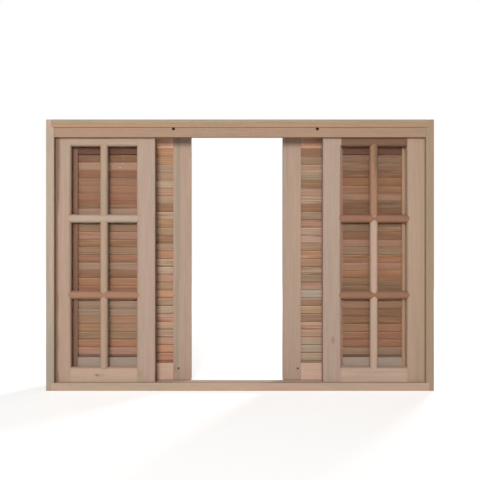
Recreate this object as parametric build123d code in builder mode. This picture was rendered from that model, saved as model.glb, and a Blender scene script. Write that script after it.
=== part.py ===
"""Wooden sliding shutter window, in millimetres.

X runs across the window, Y from the room side (negative) to the outside (positive), Z up. The origin is the
middle of the frame's underside. From the room to the outside the layers are: glazed sashes that slide, louvred
panels that are fixed to the jambs, and louvred shutters that slide. The leaves stand where they are half open.
"""

import os
from math import cos, radians, sin

from build123d import *

# Clearances
running_gap = 5.0  # between a sliding leaf and what it passes
guide_clearance = 1.0  # at each side of a leaf's tongue in its groove
seat_clearance = 0.3  # under a tongue that carries its leaf
fit_clearance = 0.2  # round a slat's end, a pane or a bead

# Frame
frame_width = 1500.0
frame_height = 1050.0
front_lip = 16.0
rear_lip = 12.0
jamb_thickness = 30.0
jamb_groove = 18.0
head_thickness = 30.0
head_housing = 9.0
head_rear_drop = 9.0
head_groove = 16.0
sill_front_height = 31.0
sill_floor = 17.0
sill_land = 21.0  # under the fixed panels
sill_rear_height = 9.0
sill_housing = 13.0
sill_groove_floor = 6.0
fascia_drop = 38.0
fascia_setback = 2.0  # from the head's front
fascia_hole_drop = 7.0
fascia_hole_radius = 4.5
fascia_hole_depth = 9.0
fascia_hole_places = (-257.0, 299.0)

# Tongues that guide the sliding leaves
tongue_thickness = 8.0
top_tongue = 10.0

# Glazed sashes
sash_width = 400.0
sash_thickness = 32.0
sash_stile = 71.0
sash_top_rail = 63.0
sash_bottom_rail = 64.0
cross_bar = 32.0
upright_bar = 30.0
pane_columns = 2
pane_rows = 3
moulding_radius = 10.0
glazing_lip = 14.0  # from a sash's front to its glass
glazing_rebate = 10.0
pane_thickness = 4.0
pane_margin = 2.0  # from a pane's edge to its rebate
bead_recess = 1.0  # from a bead's back to the sash's back
bead_taper = 20.0  # degrees

# Fixed louvred panels
panel_setback = 5.0  # from an open sash's inner edge to the panel's
panel_thickness = 30.0
panel_outer_stile = 75.0
panel_inner_stile = 71.0
panel_top_rail = 93.0
panel_bottom_rail = 98.0
panel_slat_pitch = 30.8

# Sliding louvred shutters
shutter_width = 400.0
shutter_thickness = 30.0
shutter_stile = 72.0
shutter_top_rail = 58.0
shutter_bottom_rail = 67.0
shutter_slat_pitch = 31.9
bolt_hole_radius = 2.5
bolt_hole_depth = 15.0
left_bolt_inset = 51.0  # from the shutter's inner edge
right_bolt_inset = 60.0
bolt_hole_height = 45.0  # above the shutter's lower edge

# Slats
slat_width = 38.0
slat_thickness = 7.0
slat_angle = 72.0  # degrees from level, with the room-side edge up
slat_ease = 1.5
slat_housing = 8.0
slat_end_gap = 0.5  # between the outermost slats and the rails

# Where each leaf stands, measured from its fully open place
left_sash_shift = 0.0
right_sash_shift = 8.0
left_shutter_shift = 135.0
right_shutter_shift = 159.0

# Layers from the room to the outside
leaves_depth = sash_thickness + panel_thickness + shutter_thickness + 4 * running_gap
frame_depth = front_lip + leaves_depth + rear_lip
frame_front = -frame_depth / 2
frame_back = frame_depth / 2
lip_back = frame_front + front_lip
sash_front = lip_back + running_gap
sash_back = sash_front + sash_thickness
panel_front = sash_back + running_gap
panel_back = panel_front + panel_thickness
shutter_front = panel_back + running_gap
shutter_back = shutter_front + shutter_thickness
rear_lip_front = shutter_back + running_gap
sash_middle = (sash_front + sash_back) / 2
shutter_middle = (shutter_front + shutter_back) / 2

# Places across and up the frame
jamb_outer = -frame_width / 2
jamb_inner = jamb_outer + jamb_thickness
groove_bottom = jamb_inner - jamb_groove
open_edge = groove_bottom + running_gap
panel_inner_edge = open_edge + sash_width - panel_setback
head_underside = frame_height - head_thickness
guide_top = head_underside + head_groove
leaf_bottom = sill_floor + running_gap
leaf_top = head_underside - running_gap
tongue_bottom = sill_groove_floor + seat_clearance
tongue_top = leaf_top + top_tongue
groove_width = tongue_thickness + 2 * guide_clearance

os.makedirs("parts", exist_ok=True)


def save(solid, node, side="left"):
    """Write a piece, turned over to the right-hand half of the window where that is its side."""
    with BuildPart() as piece:
        if side == "right":
            mirror(solid, about=Plane.YZ)
        else:
            add(solid)
    piece.part.label = node
    export_step(piece.part, f"parts/{node}.step")


def block(x, y, z, mode=Mode.ADD):
    """A square-edged board that fills three spans, each given as (low, high)."""
    with Locations((x[0], y[0], z[0])):
        Box(x[1] - x[0], y[1] - y[0], z[1] - z[0], align=(Align.MIN, Align.MIN, Align.MIN), mode=mode)


def facing_room(x, y, z):
    """A sketch plane that looks at the room, with X across and Z up."""
    return Plane(origin=(x, y, z), x_dir=(1, 0, 0), z_dir=(0, -1, 0))


def tongues(x, middle):
    """The tongues at the foot and the top of a sliding leaf's member."""
    y = (middle - tongue_thickness / 2, middle + tongue_thickness / 2)
    block(x, y, (tongue_bottom, leaf_bottom))
    block(x, y, (leaf_top, tongue_top))


# Frame: sections of the head and the sill, which also cut their housings in the jambs
def head_section(x):
    with BuildSketch(Plane.YZ.offset(x)) as section:
        with BuildLine():
            Polyline(
                (frame_front, head_underside),
                (rear_lip_front, head_underside),
                (rear_lip_front, head_underside - head_rear_drop),
                (frame_back, head_underside - head_rear_drop),
                (frame_back, frame_height),
                (frame_front, frame_height),
                close=True,
            )
        make_face()
    return section.sketch


def sill_section(x):
    with BuildSketch(Plane.YZ.offset(x)) as section:
        with BuildLine():
            Polyline(
                (frame_front, 0),
                (frame_back, 0),
                (frame_back, sill_rear_height),
                (panel_back, sill_floor),
                (panel_back, sill_land),
                (panel_front, sill_land),
                (panel_front, sill_floor),
                (lip_back, sill_floor),
                (lip_back, sill_front_height),
                (frame_front, sill_front_height),
                close=True,
            )
        make_face()
    return section.sketch


# Jambs, grooved for both pairs of sliding leaves
head_end = jamb_inner - head_housing
sill_end = jamb_inner - sill_housing

with BuildPart() as jamb:
    with BuildSketch() as jamb_section:
        with Locations((jamb_outer, frame_front)):
            Rectangle(jamb_thickness, frame_depth, align=(Align.MIN, Align.MIN))
        with Locations((groove_bottom, lip_back)):
            Rectangle(jamb_groove, panel_front - lip_back, align=(Align.MIN, Align.MIN), mode=Mode.SUBTRACT)
        with Locations((groove_bottom, panel_back)):
            Rectangle(jamb_groove, rear_lip_front - panel_back, align=(Align.MIN, Align.MIN), mode=Mode.SUBTRACT)
    extrude(amount=frame_height)
    extrude(head_section(head_end), amount=head_housing, mode=Mode.SUBTRACT)
    extrude(sill_section(sill_end), amount=sill_housing, mode=Mode.SUBTRACT)

save(jamb.part, "left_jamb")
save(jamb.part, "right_jamb", "right")

# Head: a board that spans the jambs, and strips under it that leave a groove over each pair of leaves
with BuildPart() as head:
    block((head_end, -head_end), (frame_front, frame_back), (guide_top, frame_height))

save(head.part, "head")

with BuildPart() as head_guides:
    extrude(head_section(head_end), amount=-2 * head_end)
    block((head_end, -head_end), (frame_front, frame_back), (guide_top, frame_height), Mode.SUBTRACT)
    for middle in (sash_middle, shutter_middle):
        groove = (middle - groove_width / 2, middle + groove_width / 2)
        block((head_end, -head_end), groove, (head_underside, guide_top), Mode.SUBTRACT)

save(head_guides.part, "head_guides")

# Sill, with a groove under each pair of leaves, a land under the fixed panels and a fall to the outside
with BuildPart() as sill:
    extrude(sill_section(sill_end), amount=-2 * sill_end)
    for middle in (sash_middle, shutter_middle):
        groove = (middle - groove_width / 2, middle + groove_width / 2)
        block((sill_end, -sill_end), groove, (sill_groove_floor, sill_floor), Mode.SUBTRACT)

save(sill.part, "sill")

# Fascia under the head, with two sunk screw holes
with BuildPart() as fascia:
    fascia_front = frame_front + fascia_setback
    fascia_top = head_underside
    block((jamb_inner, -jamb_inner), (fascia_front, lip_back), (fascia_top - fascia_drop, fascia_top))
    for place in fascia_hole_places:
        with Locations(facing_room(place, fascia_front, fascia_top - fascia_hole_drop)):
            Hole(fascia_hole_radius, fascia_hole_depth)

save(fascia.part, "head_fascia")


# Louvred leaves, fixed or sliding, made as the left-hand one
def slat_heights(low, high, pitch):
    """Heights of the slats' middles, spread evenly between two rails."""
    rise = slat_width * sin(radians(slat_angle)) + slat_thickness * cos(radians(slat_angle))
    first = low + slat_end_gap + rise / 2
    last = high - slat_end_gap - rise / 2
    steps = round((last - first) / pitch)
    return [first + (last - first) * step / steps for step in range(steps + 1)]


def louvre_slats(x, middle, heights):
    """Sloping slats with eased edges, each a piece of its own."""
    with BuildPart() as slats:
        with BuildSketch(Plane.YZ.offset(x[0])) as section:
            with Locations([(middle, height) for height in heights]):
                Rectangle(slat_width, slat_thickness, rotation=-slat_angle)
            chamfer(section.vertices(), length=slat_ease)
        extrude(amount=x[1] - x[0])
    return slats.part


def slat_housings(x, toward, middle, heights):
    """Sloping sockets in a stile's edge, cut in the direction that toward gives (-1 or 1)."""
    with BuildSketch(Plane.YZ.offset(x)) as sockets:
        with Locations([(middle, height) for height in heights]):
            Rectangle(slat_width + 2 * fit_clearance, slat_thickness + 2 * fit_clearance, rotation=-slat_angle)
    return extrude(sockets.sketch, amount=toward * (slat_housing + fit_clearance), mode=Mode.PRIVATE)


def louvred_leaf(name, side, x, stiles, y, z, rails, pitch, bolt_inset=None):
    """Two stiles, two rails and the slats between them.

    x, y and z are the leaf's spans, stiles its outer and inner stile widths, rails its lower and upper heights.
    A leaf that slides has tongues, and a hole for its bolt at bolt_inset from its inner edge.
    """
    slides = bolt_inset is not None
    middle = (y[0] + y[1]) / 2
    field = (x[0] + stiles[0], x[1] - stiles[1])
    low_rail = (z[0], z[0] + rails[0])
    high_rail = (z[1] - rails[1], z[1])
    heights = slat_heights(low_rail[1], high_rail[0], pitch)

    with BuildPart() as outer_stile:
        block((x[0], field[0]), y, z)
        if slides:
            tongues((x[0], field[0]), middle)
        add(slat_housings(field[0], -1, middle, heights), mode=Mode.SUBTRACT)
    save(outer_stile.part, f"{name}_outer_stile", side)

    with BuildPart() as inner_stile:
        block((field[1], x[1]), y, z)
        if slides:
            tongues((field[1], x[1]), middle)
            bolt_hole = facing_room(x[1] - bolt_inset, y[0], z[0] + bolt_hole_height)
            with Locations(bolt_hole):
                Hole(bolt_hole_radius, bolt_hole_depth)
        add(slat_housings(field[1], 1, middle, heights), mode=Mode.SUBTRACT)
    save(inner_stile.part, f"{name}_inner_stile", side)

    with BuildPart() as bottom_rail:
        block(field, y, low_rail)
        if slides:
            block(field, (middle - tongue_thickness / 2, middle + tongue_thickness / 2), (tongue_bottom, z[0]))
    save(bottom_rail.part, f"{name}_bottom_rail", side)

    with BuildPart() as top_rail:
        block(field, y, high_rail)
        if slides:
            block(field, (middle - tongue_thickness / 2, middle + tongue_thickness / 2), (z[1], tongue_top))
    save(top_rail.part, f"{name}_top_rail", side)

    slat_span = (field[0] - slat_housing, field[1] + slat_housing)
    save(louvre_slats(slat_span, middle, heights), f"{name}_slats", side)


# Fixed panels, seated on the jambs' lands between sill and head
for side in ("left", "right"):
    louvred_leaf(
        f"{side}_louvre",
        side,
        x=(jamb_inner, panel_inner_edge),
        stiles=(panel_outer_stile, panel_inner_stile),
        y=(panel_front, panel_back),
        z=(sill_land, head_underside),
        rails=(panel_bottom_rail, panel_top_rail),
        pitch=panel_slat_pitch,
    )

# Sliding shutters
for side, shift, bolt_inset in (
    ("left", left_shutter_shift, left_bolt_inset),
    ("right", right_shutter_shift, right_bolt_inset),
):
    louvred_leaf(
        f"{side}_shutter",
        side,
        x=(open_edge + shift, open_edge + shift + shutter_width),
        stiles=(shutter_stile, shutter_stile),
        y=(shutter_front, shutter_back),
        z=(leaf_bottom, leaf_top),
        rails=(shutter_bottom_rail, shutter_top_rail),
        pitch=shutter_slat_pitch,
        bolt_inset=bolt_inset,
    )


# Glazed sashes, made as the left-hand one
def bar_fronts(middles, length, width, turn, clearance=0.0):
    """Bars seen from the room: corners on the sight lines, pointed ends that are let in past them."""
    corner = (length / 2, width / 2 + clearance)
    tip = length / 2 + glazing_rebate + 2 * clearance
    with BuildSketch(facing_room(0, sash_front, 0)) as fronts:
        with Locations(*middles):
            Polygon(
                (tip, 0),
                (corner[0], corner[1]),
                (-corner[0], corner[1]),
                (-tip, 0),
                (-corner[0], -corner[1]),
                (corner[0], -corner[1]),
                rotation=turn,
            )
    return fronts.sketch


def glazed_sash(name, side, edge):
    """A sash with moulded bars, its panes and the beads that hold them; edge is its outer edge."""
    x = (edge, edge + sash_width)
    sight_x = (x[0] + sash_stile, x[1] - sash_stile)
    sight_z = (leaf_bottom + sash_bottom_rail, leaf_top - sash_top_rail)
    lip = sash_front + glazing_lip
    middle_x = (sight_x[0] + sight_x[1]) / 2
    middle_z = (sight_z[0] + sight_z[1]) / 2
    pane_width = (sight_x[1] - sight_x[0] - (pane_columns - 1) * upright_bar) / pane_columns
    pane_height = (sight_z[1] - sight_z[0] - (pane_rows - 1) * cross_bar) / pane_rows
    column_step = pane_width + upright_bar
    row_step = pane_height + cross_bar
    rebate_x = (sight_x[0] - glazing_rebate, sight_x[1] + glazing_rebate)
    rebate_z = (sight_z[0] - glazing_rebate, sight_z[1] + glazing_rebate)
    bar_heights = [sight_z[0] + row * row_step - cross_bar / 2 for row in range(1, pane_rows)]
    bar_columns = [sight_x[0] + column * column_step - upright_bar / 2 for column in range(1, pane_columns)]
    pane_heights = [sight_z[0] + row * row_step + pane_height / 2 for row in range(pane_rows)]
    cross_middles = [(middle_x, height) for height in bar_heights]
    upright_middles = [(place, height) for place in bar_columns for height in pane_heights]
    cross_length = sight_x[1] - sight_x[0]
    cross_notches = bar_fronts(cross_middles, cross_length, cross_bar, 0, fit_clearance)
    upright_notches = bar_fronts(upright_middles, pane_height, upright_bar, 90, fit_clearance)

    # The whole surround: moulded round its daylight, rebated for glass, notched for the bars' pointed ends
    with BuildPart() as surround:
        block(x, (sash_front, sash_back), (leaf_bottom, leaf_top))
        block(sight_x, (sash_front, sash_back), sight_z, Mode.SUBTRACT)
        front_edges = surround.faces().sort_by(Axis.Y)[0].inner_wires()[0].edges()
        fillet(front_edges, radius=moulding_radius)
        block(rebate_x, (lip, sash_back), rebate_z, Mode.SUBTRACT)
        extrude(cross_notches, amount=-glazing_lip, mode=Mode.SUBTRACT)
        extrude(upright_notches, amount=-glazing_lip, mode=Mode.SUBTRACT)
        tongues(x, sash_middle)

    whole_height = (tongue_bottom, tongue_top)
    members = {
        "outer_stile": ((x[0], sight_x[0]), whole_height),
        "inner_stile": ((sight_x[1], x[1]), whole_height),
        "bottom_rail": (sight_x, (tongue_bottom, middle_z)),
        "top_rail": (sight_x, (middle_z, tongue_top)),
    }
    for member, (span_x, span_z) in members.items():
        with BuildPart() as piece:
            add(surround.part)
            block(span_x, (sash_front, sash_back), span_z, Mode.INTERSECT)
        save(piece.part, f"{name}_{member}", side)

    # Cross bars run through from stile to stile, notched for the upright bars
    with BuildPart() as cross_bars:
        extrude(bar_fronts(cross_middles, cross_length, cross_bar, 0), amount=-glazing_lip)
        fillet(cross_bars.faces().group_by(Axis.Y)[0].edges().filter_by(Axis.X), radius=moulding_radius)
        extrude(upright_notches, amount=-glazing_lip, mode=Mode.SUBTRACT)
        half_web = cross_bar / 2 - glazing_rebate
        web_x = (rebate_x[0] + fit_clearance, rebate_x[1] - fit_clearance)
        for height in bar_heights:
            block(web_x, (lip, sash_back), (height - half_web, height + half_web))
    save(cross_bars.part, f"{name}_cross_bars", side)

    # Upright bars stand between the cross bars and the rails
    with BuildPart() as upright_bars:
        extrude(bar_fronts(upright_middles, pane_height, upright_bar, 90), amount=-glazing_lip)
        fillet(upright_bars.faces().group_by(Axis.Y)[0].edges().filter_by(Axis.Z), radius=moulding_radius)
        half_web = upright_bar / 2 - glazing_rebate
        half_height = pane_height / 2 + glazing_rebate - fit_clearance
        for place, height in upright_middles:
            web_x = (place - half_web, place + half_web)
            block(web_x, (lip, sash_back), (height - half_height, height + half_height))
    save(upright_bars.part, f"{name}_upright_bars", side)

    # Panes and their beads fill the rebates, one of each to a light
    rebate_width = pane_width + 2 * glazing_rebate
    rebate_height = pane_height + 2 * glazing_rebate
    pane_front = lip + fit_clearance
    with BuildPart() as panes:
        with BuildSketch(facing_room(middle_x, pane_front, middle_z)):
            with GridLocations(column_step, row_step, pane_columns, pane_rows):
                Rectangle(rebate_width - 2 * pane_margin, rebate_height - 2 * pane_margin)
        extrude(amount=-pane_thickness)
    save(panes.part, f"{name}_panes", side)

    bead_front = pane_front + pane_thickness + fit_clearance
    bead_back = sash_back - bead_recess
    with BuildPart() as beads:
        with BuildSketch(facing_room(middle_x, bead_front, middle_z)):
            with GridLocations(column_step, row_step, pane_columns, pane_rows):
                Rectangle(rebate_width - 2 * fit_clearance, rebate_height - 2 * fit_clearance)
                Rectangle(pane_width, pane_height, mode=Mode.SUBTRACT)
        extrude(amount=-(bead_back - bead_front))
        with BuildSketch(facing_room(middle_x, bead_front, middle_z)):
            with GridLocations(column_step, row_step, pane_columns, pane_rows):
                Rectangle(pane_width, pane_height)
        extrude(amount=-(bead_back - bead_front), taper=-bead_taper, mode=Mode.SUBTRACT)
    save(beads.part, f"{name}_glazing_beads", side)


for side, shift in (("left", left_sash_shift), ("right", right_sash_shift)):
    glazed_sash(f"{side}_sash", side, open_edge + shift)
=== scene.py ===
"""Looks of the wooden sliding shutter window: bare planed wood, clear glass, soft light on a white floor.

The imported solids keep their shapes. Each board gets a wood of its own, with the grain along its length, and
each slat gets a tone of its own. Two small screws are added in the fascia's holes.
"""

import math
import random
from collections import namedtuple

import bmesh
import bpy
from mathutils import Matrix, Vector


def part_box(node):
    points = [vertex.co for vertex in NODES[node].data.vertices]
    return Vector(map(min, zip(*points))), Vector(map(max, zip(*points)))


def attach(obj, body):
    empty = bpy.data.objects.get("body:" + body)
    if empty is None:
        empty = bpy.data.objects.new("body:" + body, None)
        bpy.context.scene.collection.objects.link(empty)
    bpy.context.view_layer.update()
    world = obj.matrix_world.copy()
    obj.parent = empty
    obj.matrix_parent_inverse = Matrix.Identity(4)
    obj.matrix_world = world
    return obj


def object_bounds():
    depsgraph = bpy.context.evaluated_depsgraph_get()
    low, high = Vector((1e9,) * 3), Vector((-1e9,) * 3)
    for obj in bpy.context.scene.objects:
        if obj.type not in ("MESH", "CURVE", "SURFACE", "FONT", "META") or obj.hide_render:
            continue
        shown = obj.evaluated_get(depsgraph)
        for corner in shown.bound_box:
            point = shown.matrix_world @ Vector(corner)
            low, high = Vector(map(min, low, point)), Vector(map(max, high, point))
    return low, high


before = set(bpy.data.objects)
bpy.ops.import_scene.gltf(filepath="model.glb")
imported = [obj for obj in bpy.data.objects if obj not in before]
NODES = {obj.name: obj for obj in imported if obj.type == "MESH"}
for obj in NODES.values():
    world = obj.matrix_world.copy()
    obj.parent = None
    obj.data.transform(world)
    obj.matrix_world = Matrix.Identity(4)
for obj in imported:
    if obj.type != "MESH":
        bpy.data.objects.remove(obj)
cad_low, cad_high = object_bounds()

# Camera: straight in front, level, with the picture's centre a little above its horizon
IMAGE_SIDE_PX = 480
PIXEL_MM = 3.866  # size of a pixel on the frame's front
CAMERA_DISTANCE_M = 2.0  # from the frame's front
CAMERA_HEIGHT_M = 0.523
HORIZON_PX = 255.7
SENSOR_MM = 36.0

# Light: a softbox in front and above, a weak one at the left, one for the back, and a dim white room
WHITE = (1.0, 1.0, 1.0, 1.0)
LAMP_COLOUR = (1.0, 0.98, 0.95)
SKY_STRENGTH = 0.16
KEY_PLACE_M = (-0.6, -5.75, 1.75)
KEY_SIZE_M = 1.5
KEY_WATTS = 232.0
SIDE_PLACE_M = (-3.2, -2.6, 1.9)
SIDE_SIZE_M = 1.6
SIDE_WATTS = 14.0
BACK_PLACE_M = (3.2, 4.6, 3.4)
BACK_SIZE_M = 1.8
BACK_WATTS = 190.0
FLOOR_SIDE_M = 40.0
FLOOR_GAP_M = 0.0005  # below the sill
FLOOR_COLOUR = (0.84, 0.84, 0.84, 1.0)
FLOOR_ROUGHNESS = 0.9
FLOOR_GLOW_NEAR = 0.56  # what the camera sees of the floor besides its own light, where the shadow falls
FLOOR_GLOW_FAR = 0.80
FLOOR_GLOW_REACH_M = (1.1, 3.0)  # distances from the object's middle between which it rises

# Bare wood tones, in linear light
ASH = (0.462, 0.357, 0.275)
MOSS = (0.40, 0.337, 0.262)
ROSE = (0.442, 0.315, 0.239)
MAUVE = (0.432, 0.314, 0.25)
BLUSH = (0.50, 0.362, 0.278)
DUSK = (0.433, 0.307, 0.236)
SAND = (0.43, 0.308, 0.222)
FAWN = (0.495, 0.355, 0.268)
TAN = (0.375, 0.29, 0.205)
OAK = (0.357, 0.26, 0.176)
HONEY = (0.417, 0.26, 0.163)
BISCUIT = (0.381, 0.247, 0.17)
PEACH = (0.46, 0.30, 0.21)
CEDAR = (0.362, 0.194, 0.122)
RUST = (0.297, 0.15, 0.092)
UMBER = (0.194, 0.106, 0.063)
# Painted shade: dark brown for wood that lies in shade, on the left louvre's outer stile and along the
# fascia's top
SHADE_BROWN = (0.225, 0.115, 0.072)
# Painted shade: the louvres' top rails, which lie in the shade of the sashes' top rails
DARK_SHADE = (0.125, 0.048, 0.025)
GREY = (0.35, 0.265, 0.213)
# Painted light: a pale tone for the shutters' bottom rails, against the shade at the bottom
LIT_PINK = (0.60, 0.42, 0.325)
# Painted light: pale tones for the shutters' top rails, against the shadow of the fascia above them
LIT_APRICOT = (0.70, 0.43, 0.29)
LIT_CLAY = (0.62, 0.345, 0.225)
# Painted light: a pale tone for the sill behind its front lip, against the shade there
LIT_PALE = (0.66, 0.505, 0.405)
SLAT_TONES = (
    (0.50, 0.325, 0.215),
    (0.53, 0.34, 0.25),
    (0.48, 0.26, 0.17),
    (0.54, 0.315, 0.18),
    (0.46, 0.365, 0.265),
    (0.42, 0.295, 0.19),
    (0.36, 0.22, 0.135),
    (0.61, 0.45, 0.345),
)
# Each panel's slats get one tint above and another below. The louvres' upper slats are darker: painted shade
# from the head and the sash's top rail above them
SLAT_TINTS_AND_SHADE_OF = {
    "left_louvre_slats": ((0.60, 0.49, 0.43), (0.725, 0.63, 0.595)),
    "right_louvre_slats": ((0.51, 0.40, 0.34), (0.64, 0.54, 0.47)),
    "left_shutter_slats": ((0.89, 0.87, 0.84), (1.04, 0.99, 1.04)),
    "right_shutter_slats": ((0.785, 0.74, 0.72), (0.94, 0.98, 1.05)),
}
# Heights between which the lower tint takes over
SLAT_TINT_CHANGE_M = {"louvre": (0.85, 0.55), "shutter": (0.46, 0.36)}

# Tints that a wood's colour is multiplied by where they lie
PINK_TINT = (1.03, 0.97, 0.975)
GREEN_TINT = (0.90, 0.965, 0.945)
END_TINT = (0.70, 0.64, 0.60)
KNOT_TINT = (0.66, 0.62, 0.50)
SMEAR_TINT = (0.84, 0.84, 0.76)
SWIRL_TINT = (0.88, 0.82, 0.75)
TENON_TINT = (0.98, 0.87, 0.72)
GREY_GREEN_TINT = (0.84, 0.93, 0.93)
# Dark spots round the screws and at the pin holes
DARK_SPOT_TINT = (0.22, 0.17, 0.15)
# Darker wood and painted shade, where the jamb shades the left sash's outer stile
EDGE_BROWN_AND_SHADE_TINT = (0.58, 0.47, 0.41)
OLIVE_TINT = (0.62, 0.74, 0.68)
# Painted highlight: each slat's upper edge made paler, as if it caught the light
SLAT_EDGE_HIGHLIGHT_TINT = (1.42, 1.46, 1.48)
# Painted shade: each slat's foot on the room side darkened, where the next slat covers it
SLAT_FOOT_SHADE_TINT = (0.62, 0.53, 0.47)

# Noises: the grain's are drawn out along it by their stretch
Noise = namedtuple("Noise", "stretch scale detail roughness distortion")
PATCHES = Noise(stretch=16.0, scale=46.0, detail=3.0, roughness=0.6, distortion=0.3)
BANDS = Noise(stretch=60.0, scale=210.0, detail=3.0, roughness=0.65, distortion=0.2)
FIBRES = Noise(stretch=60.0, scale=900.0, detail=2.0, roughness=0.6, distortion=0.0)
PORES = Noise(stretch=20.0, scale=1400.0, detail=1.0, roughness=0.5, distortion=0.0)
SLAT_DRIFT = Noise(stretch=22.0, scale=130.0, detail=3.0, roughness=0.6, distortion=0.2)
WANDER = Noise(stretch=6.0, scale=30.0, detail=2.0, roughness=0.5, distortion=0.0)
RAGGED = Noise(stretch=1.0, scale=160.0, detail=3.0, roughness=0.5, distortion=0.0)
WEAR = Noise(stretch=1.0, scale=700.0, detail=3.0, roughness=0.6, distortion=0.0)
GRAIN_SHIFT = 20.0  # a wood's largest move in its noise, along each axis
GRAIN_TILT = 0.7  # its largest tilt, in degrees
FIRST_SEED = 100
SEED_STEP = 10

# Which part of a noise's spread is used for what
PINK_SPREAD = (0.50, 0.66)
GREEN_SPREAD = (0.48, 0.34)
BAND_SPREAD = (0.25, 0.75)
PORE_SPREAD = (0.66, 0.74)
ROUGH_SPREAD = (0.2, 0.8)
EDGE_SPREAD = (0.3, 0.7)
DRIFT_SPREAD = (0.47, 0.66)

# How deep a wood's marks are, and how it shines
BAND_DEPTH = 0.06
SLAT_BAND_DEPTH = 0.16
FIBRE_DEPTH = 0.05
PORE_DEPTH = 0.16
PORE_SINK = 0.8  # depth of a pore in the bump, where the fibres rise by 1 at most
BUMP_STRENGTH = 0.25
BUMP_HEIGHT_M = 0.0004
WOOD_ROUGHNESS = (0.74, 0.60)  # between the fibres and on them
WOOD_SPECULAR = 0.25
END_FACING = (0.75, 0.92)  # how far a face turns along the grain where end grain begins

# Edges of marks and streaks
MARK_RAGGEDNESS = 0.35
MARK_FADE = (1.0, 0.1)  # from a mark's rim inwards, in squared shares of its size
STREAK_SEED = 7
STREAK_WANDER_M = 0.004
STREAK_FADE = (1.3, 0.7)  # shares of a streak's half width

# Slats: how they lie in their stiles, and how they differ
SLAT_ANGLE = math.radians(72)
SLAT_RISE_M = 0.0383  # height of one slat
SLAT_COUNTS = {"louvre": 26, "shutter": 27}
SLAT_FOOT_SHADE_M = (-0.0075, -0.0120)  # from a slat's middle down its room side, where painted shade darkens the foot that the next slat hides
SLAT_GRAIN_STEP = 1.7  # from one slat's grain to the next one's
SLAT_PICK = 0.5  # added to a slat's number, to pick its tone
SLAT_OTHER_PICK = 100.5  # and the tone that it runs into
SLAT_HIGHLIGHT_FACING = (0.5, 0.8)  # how far a face turns up the slope where the painted highlight on the upper edge begins
SLAT_ROOM_FACING = (-0.5, -0.8)  # how far a face turns across the slope on the room side

# Edges taken off with sandpaper
BOARD_BEVEL_M = 0.0011
SLAT_BEVEL_M = 0.0005
BEVEL_ANGLE = math.radians(40)
BEVEL_SEGMENTS = 2
WELD_M = 1e-6

# Glass
GLASS_COLOUR = (0.93, 0.97, 0.96, 1.0)
GLASS_ROUGHNESS = 0.02
GLASS_IOR = 1.5
GLASS_ALPHA = 0.08

# Screws sunk in the fascia
SCREW_PLACES_M = (-0.257, 0.299)
SCREW_DROP_M = 0.007  # below the fascia's top
SCREW_SEAT_M = 0.009  # behind the fascia's face
SCREW_RADIUS_M = 0.0044
SCREW_SEAT_RADIUS_M = 0.0022
SCREW_HEIGHT_M = 0.0080
SCREW_SIDES = 24
SLOT_ARMS = 4
SLOT_HALF_WIDTH_M = 0.0005
SLOT_REACH_M = 0.0023
SLOT_DEPTH_M = 0.0015
SCREW_COLOUR = (0.004, 0.003, 0.003)
SCREW_WORN_COLOUR = (0.016, 0.012, 0.010)
SCREW_WORN_SPREAD = (0.5, 0.75)
SCREW_ROUGH_SPREAD = (0.3, 0.8)
SCREW_ROUGHNESS = (0.85, 0.70)  # sound and worn
SCREW_SPECULAR = 0.08

# Tones of the boards that differ from their kind's tone
TONE_OF = {
    "left_jamb": MOSS,
    "right_jamb": OAK,
    "head": TAN,
    "head_guides": HONEY,
    "head_fascia": BISCUIT,
    "sill": FAWN,
    "left_sash_bottom_rail": BLUSH,
    "left_sash_inner_stile": MAUVE,
    "left_sash_cross_bars": CEDAR,
    "left_sash_upright_bars": SAND,
    "right_sash_top_rail": UMBER,
    "right_sash_bottom_rail": BLUSH,
    "right_sash_inner_stile": MAUVE,
    "right_sash_outer_stile": SAND,
    "right_sash_cross_bars": RUST,
    "right_sash_upright_bars": BLUSH,
    # painted shade: this stile lies behind the left sash's outer stile, in its shade
    "left_louvre_outer_stile": SHADE_BROWN,
    "right_louvre_outer_stile": HONEY,
    "right_louvre_inner_stile": CEDAR,
    # painted shade: dark rails standing for the shade that the sashes' top rails cast on them
    "left_louvre_top_rail": DARK_SHADE,
    "right_louvre_top_rail": DARK_SHADE,
    "left_louvre_bottom_rail": GREY,
    "right_louvre_bottom_rail": GREY,
    # painted light: made paler to offset the fascia's shadow
    "left_shutter_top_rail": LIT_APRICOT,
    "right_shutter_top_rail": LIT_CLAY,
    # painted light: made paler to offset the shade there
    "left_shutter_bottom_rail": LIT_PINK,
    "right_shutter_bottom_rail": LIT_PINK,
}
# A second tone, with the axis and the places along it between which it takes over
SECOND_TONE_OF = {
    "left_jamb": (ASH, "Z", 0.05, 0.45),
    # a dark strip along the fascia's top: painted shadow under the head, and dirt in the joint
    "head_fascia": (SHADE_BROWN, "Z", 1.0172, 1.0182),
    "left_sash_cross_bars": (ASH, "Z", 0.517, 0.518),
    "right_sash_upright_bars": (CEDAR, "Z", 0.679, 0.680),
    # painted light: the sill paler behind its front lip
    "sill": (LIT_PALE, "Y", -0.015, -0.014),
}
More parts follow.
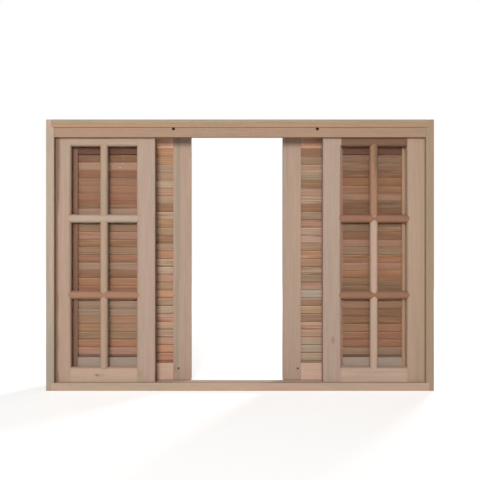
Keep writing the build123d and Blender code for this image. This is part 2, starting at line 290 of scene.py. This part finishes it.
# Marks on a board's face: tint, place across and up, half width and half height, with the leaves at rest
MARKS_OF = {
    "head_fascia": [
        (DARK_SPOT_TINT, SCREW_PLACES_M[0], 1.0145, 0.0095, 0.0085),
        (DARK_SPOT_TINT, SCREW_PLACES_M[1], 1.0145, 0.0095, 0.0085),
    ],
    "left_sash_bottom_rail": [
        (SMEAR_TINT, -0.552, 0.056, 0.024, 0.008),
        (KNOT_TINT, -0.559, 0.057, 0.008, 0.005),
    ],
    "left_sash_inner_stile": [(TENON_TINT, -0.392, 0.061, 0.012, 0.017)],
    "right_sash_inner_stile": [
        (SWIRL_TINT, 0.363, 0.194, 0.011, 0.020),
        (SWIRL_TINT, 0.363, 0.196, 0.005, 0.008),
    ],
    "right_sash_outer_stile": [(TENON_TINT, 0.649, 0.061, 0.012, 0.018)],
    "right_sash_upright_bars": [(OLIVE_TINT, 0.535, 0.97, 0.022, 0.17)],
    "left_shutter_inner_stile": [
        (TENON_TINT, -0.263, 0.063, 0.006, 0.022),
        (DARK_SPOT_TINT, -0.249, 0.067, 0.0055, 0.0055),
    ],
    "right_shutter_inner_stile": [(DARK_SPOT_TINT, 0.234, 0.067, 0.0055, 0.0055)],
}
# Upright streaks: tint, place across and half width
STREAKS_OF = {
    # partly darker wood, partly painted shade of the jamb
    "left_sash_outer_stile": [(EDGE_BROWN_AND_SHADE_TINT, -0.722, 0.014)],
    "left_shutter_inner_stile": [(GREY_GREEN_TINT, -0.253, 0.007)],
}
UPRIGHT_MEMBERS = ("stile", "jamb", "upright_bars")

# Sockets of a Mix node that blends colours
MIX_FACTOR = 0
MIX_FIRST = 6
MIX_SECOND = 7
MIX_RESULT = 2


# Shader helpers
def new_material(name):
    """A material with an empty node tree, and its Principled shader."""
    material = bpy.data.materials.new(name)
    material.use_nodes = True
    tree = material.node_tree
    tree.nodes.clear()
    output = tree.nodes.new("ShaderNodeOutputMaterial")
    shader = tree.nodes.new("ShaderNodeBsdfPrincipled")
    tree.links.new(shader.outputs["BSDF"], output.inputs["Surface"])
    return material, tree, shader


def add_node(tree, kind, inputs=None, **settings):
    """A node with its settings and inputs; an input is a value or another node's output."""
    node = tree.nodes.new(kind)
    for key, value in settings.items():
        setattr(node, key, value)
    for key, value in (inputs or {}).items():
        if isinstance(value, bpy.types.NodeSocket):
            tree.links.new(value, node.inputs[key])
        else:
            node.inputs[key].default_value = value
    return node


def math_node(tree, operation, first, second=0.0):
    return add_node(tree, "ShaderNodeMath", {0: first, 1: second}, operation=operation).outputs[0]


def vector_node(tree, operation, first, second):
    """A vector operation; a dot product gives its number."""
    node = add_node(tree, "ShaderNodeVectorMath", {0: first, 1: second}, operation=operation)
    return node.outputs["Value" if operation == "DOT_PRODUCT" else "Vector"]


def blend_colours(tree, mode, factor, first, second):
    """Two colours blended by a factor; each is a value or another node's output."""
    node = add_node(tree, "ShaderNodeMix", data_type="RGBA", blend_type=mode)
    for index, value in ((MIX_FACTOR, factor), (MIX_FIRST, first), (MIX_SECOND, second)):
        if isinstance(value, bpy.types.NodeSocket):
            tree.links.new(value, node.inputs[index])
        else:
            node.inputs[index].default_value = value if index == MIX_FACTOR else (*value, 1.0)
    return node.outputs[MIX_RESULT]


def remap(tree, value, spread, result=(0.0, 1.0)):
    """A value eased from one pair of numbers to another."""
    inputs = {
        "Value": value,
        "From Min": spread[0],
        "From Max": spread[1],
        "To Min": result[0],
        "To Max": result[1],
    }
    return add_node(tree, "ShaderNodeMapRange", inputs, interpolation_type="SMOOTHSTEP").outputs[0]


def around(middle, reach):
    return (middle - reach, middle + reach)


def noise(tree, place, kind):
    inputs = {
        "Vector": place,
        "Scale": kind.scale,
        "Detail": kind.detail,
        "Roughness": kind.roughness,
        "Distortion": kind.distortion,
    }
    return add_node(tree, "ShaderNodeTexNoise", inputs).outputs["Fac"]


def grain_noise(tree, place, along, seed, kind):
    """Noise at a place that is moved by a seed and shortened along the grain."""
    rng = random.Random(seed)
    shift = [rng.uniform(-GRAIN_SHIFT, GRAIN_SHIFT) for _ in range(3)]
    scale = [1.0, 1.0, 1.0]
    scale["XYZ".index(along)] = 1.0 / kind.stretch
    tilt = [0.0, math.radians(rng.uniform(-GRAIN_TILT, GRAIN_TILT)), 0.0]
    inputs = {"Vector": place, "Location": shift, "Rotation": tilt, "Scale": scale}
    return noise(tree, add_node(tree, "ShaderNodeMapping", inputs).outputs[0], kind)


def coordinates(tree, kind):
    return add_node(tree, "ShaderNodeTexCoord").outputs[kind]


def axis_of(letter):
    return tuple(1.0 if letter == other else 0.0 for other in "XYZ")


# Wood
def grain(tree, place, along, seed, colour, depth=BAND_DEPTH):
    """A wood's colour with its patches, bands, fibres and pores, and what its surface needs of them."""
    patches = grain_noise(tree, place, along, seed, PATCHES)
    bands = grain_noise(tree, place, along, seed + 1, BANDS)
    fibres = grain_noise(tree, place, along, seed + 2, FIBRES)
    pores = remap(tree, grain_noise(tree, place, along, seed + 3, PORES), PORE_SPREAD)

    colour = blend_colours(tree, "MULTIPLY", remap(tree, patches, PINK_SPREAD), colour, PINK_TINT)
    colour = blend_colours(tree, "MULTIPLY", remap(tree, patches, GREEN_SPREAD), colour, GREEN_TINT)
    shade = math_node(
        tree,
        "MULTIPLY",
        remap(tree, bands, BAND_SPREAD, around(1.0, depth)),
        remap(tree, fibres, BAND_SPREAD, around(1.0, FIBRE_DEPTH)),
    )
    shade = math_node(tree, "SUBTRACT", shade, math_node(tree, "MULTIPLY", pores, PORE_DEPTH))
    grey = add_node(tree, "ShaderNodeCombineColor", {0: shade, 1: shade, 2: shade}).outputs[0]
    colour = blend_colours(tree, "MULTIPLY", 1.0, colour, grey)
    height = math_node(tree, "SUBTRACT", fibres, math_node(tree, "MULTIPLY", pores, PORE_SINK))
    return colour, height, fibres


def finish_wood(tree, shader, colour, height, fibres):
    """Link a grain to a shader: dull, a little rougher between its fibres."""
    inputs = {"Height": height, "Strength": BUMP_STRENGTH, "Distance": BUMP_HEIGHT_M}
    bump = add_node(tree, "ShaderNodeBump", inputs)
    tree.links.new(colour, shader.inputs["Base Color"])
    tree.links.new(remap(tree, fibres, ROUGH_SPREAD, WOOD_ROUGHNESS), shader.inputs["Roughness"])
    tree.links.new(bump.outputs[0], shader.inputs["Normal"])
    shader.inputs["Specular IOR Level"].default_value = WOOD_SPECULAR


def mark_mask(tree, place, x, z, half_width, half_height):
    """One inside a rounded mark on a board's front, zero outside, with a ragged edge."""
    away = vector_node(tree, "SUBTRACT", place, (x, 0.0, z))
    away = vector_node(tree, "MULTIPLY", away, (1.0 / half_width, 0.0, 1.0 / half_height))
    squared = vector_node(tree, "DOT_PRODUCT", away, away)
    ragged = remap(tree, noise(tree, place, RAGGED), EDGE_SPREAD, around(0.0, MARK_RAGGEDNESS))
    return remap(tree, math_node(tree, "ADD", squared, ragged), MARK_FADE)


def streak_mask(tree, place, x, half_width):
    """One inside an upright streak that wanders a little, zero outside."""
    across = vector_node(tree, "DOT_PRODUCT", place, axis_of("X"))
    wander = grain_noise(tree, place, "Z", STREAK_SEED, WANDER)
    wander = remap(tree, wander, EDGE_SPREAD, around(0.0, STREAK_WANDER_M))
    away = math_node(tree, "SUBTRACT", math_node(tree, "ADD", across, wander), x)
    fade = [half_width * share for share in STREAK_FADE]
    return remap(tree, math_node(tree, "ABSOLUTE", away), fade)


def board_wood(name, tone, along, seed, second=None, marks=(), streaks=()):
    """Bare planed wood; second is another tone, with the axis and the places between which it takes over."""
    material, tree, shader = new_material(name)
    place = coordinates(tree, "Object")
    colour = tone
    if second:
        other, letter, begin, end = second
        reach = vector_node(tree, "DOT_PRODUCT", place, axis_of(letter))
        colour = blend_colours(tree, "MIX", remap(tree, reach, (begin, end)), tone, other)
    colour, height, fibres = grain(tree, place, along, seed, colour)
    for tint, *mark in marks:
        colour = blend_colours(tree, "MULTIPLY", mark_mask(tree, place, *mark), colour, tint)
    for tint, *streak in streaks:
        colour = blend_colours(tree, "MULTIPLY", streak_mask(tree, place, *streak), colour, tint)
    turned = vector_node(tree, "DOT_PRODUCT", coordinates(tree, "Normal"), axis_of(along))
    end_grain = remap(tree, math_node(tree, "ABSOLUTE", turned), END_FACING)
    colour = blend_colours(tree, "MULTIPLY", end_grain, colour, END_TINT)
    finish_wood(tree, shader, colour, height, fibres)
    return material


def slat_wood(name, node, seed):
    """Wood that changes tone from slat to slat, told apart by how far a point lies across the stack."""
    material, tree, shader = new_material(name)
    low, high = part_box(node)
    kind = next(kind for kind in SLAT_COUNTS if kind in node)
    pitch = (high.z - low.z - SLAT_RISE_M) / (SLAT_COUNTS[kind] - 1)
    across = Vector((0.0, math.sin(SLAT_ANGLE), math.cos(SLAT_ANGLE)))
    up_slope = Vector((0.0, -across.z, across.y))
    step = pitch * across.z
    first = Vector((0.0, (low.y + high.y) / 2, low.z + SLAT_RISE_M / 2))
    start = across.dot(first) - step / 2

    # The slat that a point belongs to, and a place of its own in the grain
    place = coordinates(tree, "Object")
    depth = vector_node(tree, "DOT_PRODUCT", place, across)
    index = math_node(tree, "DIVIDE", math_node(tree, "SUBTRACT", depth, start), step)
    index = math_node(tree, "FLOOR", index)
    inputs = {0: math_node(tree, "MULTIPLY", index, SLAT_GRAIN_STEP), 1: index}
    shift = add_node(tree, "ShaderNodeCombineXYZ", inputs).outputs[0]
    own_place = vector_node(tree, "ADD", place, shift)

    # Two tones that run into each other, and the panel's tint, which on the louvres paints shade on the upper
    # slats
    tone = slat_tone(tree, math_node(tree, "ADD", index, seed + SLAT_PICK))
    other = slat_tone(tree, math_node(tree, "ADD", index, seed + SLAT_OTHER_PICK))
    drift = grain_noise(tree, own_place, "X", seed, SLAT_DRIFT)
    colour = blend_colours(tree, "MIX", remap(tree, drift, DRIFT_SPREAD), tone, other)
    upper_tint, lower_tint = SLAT_TINTS_AND_SHADE_OF[node]
    level = vector_node(tree, "DOT_PRODUCT", place, axis_of("Z"))
    lower = remap(tree, level, SLAT_TINT_CHANGE_M[kind])
    tint = blend_colours(tree, "MIX", lower, upper_tint, lower_tint)
    colour = blend_colours(tree, "MULTIPLY", 1.0, colour, tint)
    colour, height, fibres = grain(tree, own_place, "X", seed + 1, colour, SLAT_BAND_DEPTH)

    # Painted highlight on each slat's upper edge, and painted shade at its foot on the room side, where the
    # next slat hides it
    normal = coordinates(tree, "Normal")
    edge = remap(tree, vector_node(tree, "DOT_PRODUCT", normal, up_slope), SLAT_HIGHLIGHT_FACING)
    colour = blend_colours(tree, "MULTIPLY", edge, colour, SLAT_EDGE_HIGHLIGHT_TINT)
    climb = vector_node(tree, "DOT_PRODUCT", place, up_slope)
    climb = math_node(tree, "SUBTRACT", climb, up_slope.dot(first))
    climb = math_node(tree, "SUBTRACT", climb, math_node(tree, "MULTIPLY", index, pitch * up_slope.z))
    room_side = remap(tree, vector_node(tree, "DOT_PRODUCT", normal, across), SLAT_ROOM_FACING)
    foot = math_node(tree, "MULTIPLY", remap(tree, climb, SLAT_FOOT_SHADE_M), room_side)
    colour = blend_colours(tree, "MULTIPLY", foot, colour, SLAT_FOOT_SHADE_TINT)
    finish_wood(tree, shader, colour, height, fibres)
    return material


def slat_tone(tree, number):
    """One of the slats' tones, picked by a number."""
    picked = add_node(tree, "ShaderNodeTexWhiteNoise", {"W": number}, noise_dimensions="1D")
    node = add_node(tree, "ShaderNodeValToRGB", {"Fac": picked.outputs["Value"]})
    ramp = node.color_ramp
    ramp.interpolation = "CONSTANT"
    ramp.elements[0].color = (*SLAT_TONES[0], 1.0)
    ramp.elements.remove(ramp.elements[1])
    for position, tone in enumerate(SLAT_TONES[1:], start=1):
        element = ramp.elements.new(position / len(SLAT_TONES))
        element.color = (*tone, 1.0)
    return node.outputs["Color"]


def default_tone(node):
    if "louvre" in node:
        return PEACH
    return DUSK if "shutter" in node else ROSE


def soften_edges(obj, width):
    weld = obj.modifiers.new("weld", "WELD")
    weld.merge_threshold = WELD_M
    bevel = obj.modifiers.new("soft_edges", "BEVEL")
    bevel.width = width
    bevel.segments = BEVEL_SEGMENTS
    bevel.limit_method = "ANGLE"
    bevel.angle_limit = BEVEL_ANGLE


def set_material(obj, material):
    obj.data.materials.clear()
    obj.data.materials.append(material)


def dress_wood():
    for number, (node, obj) in enumerate(sorted(NODES.items())):
        seed = FIRST_SEED + SEED_STEP * number
        if node.endswith("panes"):
            continue
        if node.endswith("slats"):
            material = slat_wood(f"wood_{node}", node, seed)
        else:
            along = "Z" if node.endswith(UPRIGHT_MEMBERS) else "X"
            tone = TONE_OF.get(node, default_tone(node))
            second = SECOND_TONE_OF.get(node)
            marks = MARKS_OF.get(node, ())
            streaks = STREAKS_OF.get(node, ())
            material = board_wood(f"wood_{node}", tone, along, seed, second, marks, streaks)
        set_material(obj, material)
        soften_edges(obj, SLAT_BEVEL_M if node.endswith("slats") else BOARD_BEVEL_M)


# Glass
def dress_glass():
    """Clear glass that lets the lamps through, with a faint reflection."""
    material, _, shader = new_material("window_glass")
    shader.inputs["Base Color"].default_value = GLASS_COLOUR
    shader.inputs["Roughness"].default_value = GLASS_ROUGHNESS
    shader.inputs["IOR"].default_value = GLASS_IOR
    shader.inputs["Transmission Weight"].default_value = 1.0
    shader.inputs["Alpha"].default_value = GLASS_ALPHA
    for node in ("left_sash_panes", "right_sash_panes"):
        set_material(NODES[node], material)


# Screws
def screw_material():
    """Dull blackened steel, worn a little."""
    material, tree, shader = new_material("blackened_steel")
    wear = noise(tree, coordinates(tree, "Object"), WEAR)
    worn = remap(tree, wear, SCREW_WORN_SPREAD)
    colour = blend_colours(tree, "MIX", worn, SCREW_COLOUR, SCREW_WORN_COLOUR)
    tree.links.new(colour, shader.inputs["Base Color"])
    tree.links.new(remap(tree, wear, SCREW_ROUGH_SPREAD, SCREW_ROUGHNESS), shader.inputs["Roughness"])
    shader.inputs["Specular IOR Level"].default_value = SCREW_SPECULAR
    return material


def screw_mesh():
    """A screw's head with a cross slot: its seat at the origin, its face towards -Y."""
    shape = bmesh.new()

    def ring(radius, y):
        turns = [2 * math.pi * side / SCREW_SIDES for side in range(SCREW_SIDES)]
        return [shape.verts.new((radius * math.cos(turn), y, radius * math.sin(turn))) for turn in turns]

    def loop_edges(verts):
        return [shape.edges.new((a, b)) for a, b in zip(verts, verts[1:] + verts[:1])]

    def walls(lower, upper):
        for side in range(len(lower)):
            after = (side + 1) % len(lower)
            shape.faces.new((lower[side], lower[after], upper[after], upper[side]))

    seat = ring(SCREW_SEAT_RADIUS_M, 0.0)
    rim = ring(SCREW_RADIUS_M, -SCREW_HEIGHT_M)
    narrow, reach = SLOT_HALF_WIDTH_M, SLOT_REACH_M
    quarter = [(reach, narrow), (narrow, narrow), (narrow, reach)]
    cross = []
    for turn in range(SLOT_ARMS):
        for x, z in quarter:
            for _ in range(turn):
                x, z = -z, x
            cross.append((x, z))
    mouth = [shape.verts.new((x, -SCREW_HEIGHT_M, z)) for x, z in cross]
    floor = [shape.verts.new((x, SLOT_DEPTH_M - SCREW_HEIGHT_M, z)) for x, z in cross]
    bmesh.ops.triangle_fill(shape, use_beauty=True, edges=loop_edges(rim) + loop_edges(mouth))
    walls(seat, rim)
    walls(mouth, floor)
    shape.faces.new(seat)
    shape.faces.new(floor)
    bmesh.ops.recalc_face_normals(shape, faces=shape.faces)
    mesh = bpy.data.meshes.new("screw")
    shape.to_mesh(mesh)
    shape.free()
    return mesh


def add_screws():
    mesh = screw_mesh()
    mesh.materials.append(screw_material())
    low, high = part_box("head_fascia")
    for side, place in zip(("left", "right"), SCREW_PLACES_M):
        screw = bpy.data.objects.new(f"{side}_fascia_screw", mesh)
        bpy.context.scene.collection.objects.link(screw)
        screw.location = (place, low.y + SCREW_SEAT_M, high.z - SCREW_DROP_M)
        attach(screw, "frame")


# Stage
def background_rays(tree):
    """One for the rays that see the background: straight, mirrored or through glass."""
    rays = add_node(tree, "ShaderNodeLightPath").outputs
    seen = math_node(tree, "MAXIMUM", rays["Is Camera Ray"], rays["Is Glossy Ray"])
    return math_node(tree, "MAXIMUM", seen, rays["Is Transmission Ray"])


def build_floor():
    """A white floor that glows a little for the camera, less near the object, where its shadow falls."""
    bpy.ops.mesh.primitive_plane_add(size=FLOOR_SIDE_M, location=(0, 0, cad_low.z - FLOOR_GAP_M))
    floor = bpy.context.object
    floor.name = "floor"
    material, tree, shader = new_material("white_floor")
    shader.inputs["Base Color"].default_value = FLOOR_COLOUR
    shader.inputs["Roughness"].default_value = FLOOR_ROUGHNESS
    shader.inputs["Emission Color"].default_value = WHITE
    place = coordinates(tree, "Object")
    squared = vector_node(tree, "DOT_PRODUCT", place, place)
    reach = [distance ** 2 for distance in FLOOR_GLOW_REACH_M]
    level = remap(tree, squared, reach, (FLOOR_GLOW_NEAR, FLOOR_GLOW_FAR))
    glow = math_node(tree, "MULTIPLY", background_rays(tree), level)
    tree.links.new(glow, shader.inputs["Emission Strength"])
    floor.data.materials.append(material)


def build_world():
    """A dim white room that the camera sees as plain white."""
    world = bpy.data.worlds.new("studio")
    bpy.context.scene.world = world
    world.use_nodes = True
    tree = world.node_tree
    tree.nodes.clear()
    output = tree.nodes.new("ShaderNodeOutputWorld")
    extra = math_node(tree, "MULTIPLY", background_rays(tree), 1.0 - SKY_STRENGTH)
    strength = math_node(tree, "ADD", extra, SKY_STRENGTH)
    sky = add_node(tree, "ShaderNodeBackground", {"Color": WHITE, "Strength": strength})
    tree.links.new(sky.outputs[0], output.inputs["Surface"])


def add_softbox(name, place, size, watts):
    """A square lamp that faces the object's middle."""
    light = bpy.data.lights.new(name, "AREA")
    light.energy = watts
    light.size = size
    light.color = LAMP_COLOUR
    lamp = bpy.data.objects.new(name, light)
    bpy.context.scene.collection.objects.link(lamp)
    lamp.location = place
    target = (cad_low + cad_high) / 2
    lamp.rotation_euler = (target - Vector(place)).to_track_quat("-Z", "Y").to_euler()


def build_camera():
    camera = bpy.data.cameras.new("camera")
    holder = bpy.data.objects.new("camera", camera)
    bpy.context.scene.collection.objects.link(holder)
    holder.location = (0.0, cad_low.y - CAMERA_DISTANCE_M, CAMERA_HEIGHT_M)
    holder.rotation_euler = (math.radians(90), 0.0, 0.0)
    camera.sensor_width = SENSOR_MM
    camera.lens = SENSOR_MM * CAMERA_DISTANCE_M * 1000 / (IMAGE_SIDE_PX * PIXEL_MM)
    camera.shift_y = (HORIZON_PX - IMAGE_SIDE_PX / 2) / IMAGE_SIDE_PX
    bpy.context.scene.camera = holder


dress_wood()
dress_glass()
add_screws()
build_floor()
build_world()
add_softbox("key", KEY_PLACE_M, KEY_SIZE_M, KEY_WATTS)
add_softbox("side", SIDE_PLACE_M, SIDE_SIZE_M, SIDE_WATTS)
add_softbox("back", BACK_PLACE_M, BACK_SIZE_M, BACK_WATTS)
build_camera()
bpy.context.scene.view_settings.view_transform = "Standard"
